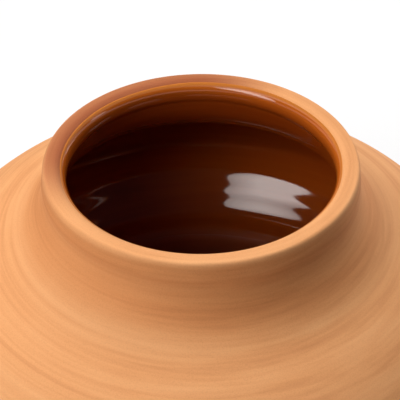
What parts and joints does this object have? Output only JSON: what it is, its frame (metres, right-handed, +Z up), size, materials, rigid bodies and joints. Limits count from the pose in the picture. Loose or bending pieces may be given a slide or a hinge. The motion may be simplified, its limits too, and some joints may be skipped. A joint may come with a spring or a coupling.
{
  "type": "vase",
  "caption": "Squat round terracotta vase with a wide mouth, a thick rounded lip, a short drawn-in neck and a glossy brown glaze inside, for holding flowers and water.",
  "frame": {"origin": "centre of the base, on the surface that the vase stands on", "axes": "+Z up along the axis of the vase; it is round, so X and Y are free"},
  "size_m": [0.275, 0.275, 0.16],
  "materials": {
    "terracotta": "unglazed matt clay with fine turning lines",
    "brown_glaze": "glossy honey-brown glaze"
  },
  "bodies": {
    "root": {"clay_body": "terracotta", "inner_glaze": "brown_glaze"}
  },
  "joints": []
}
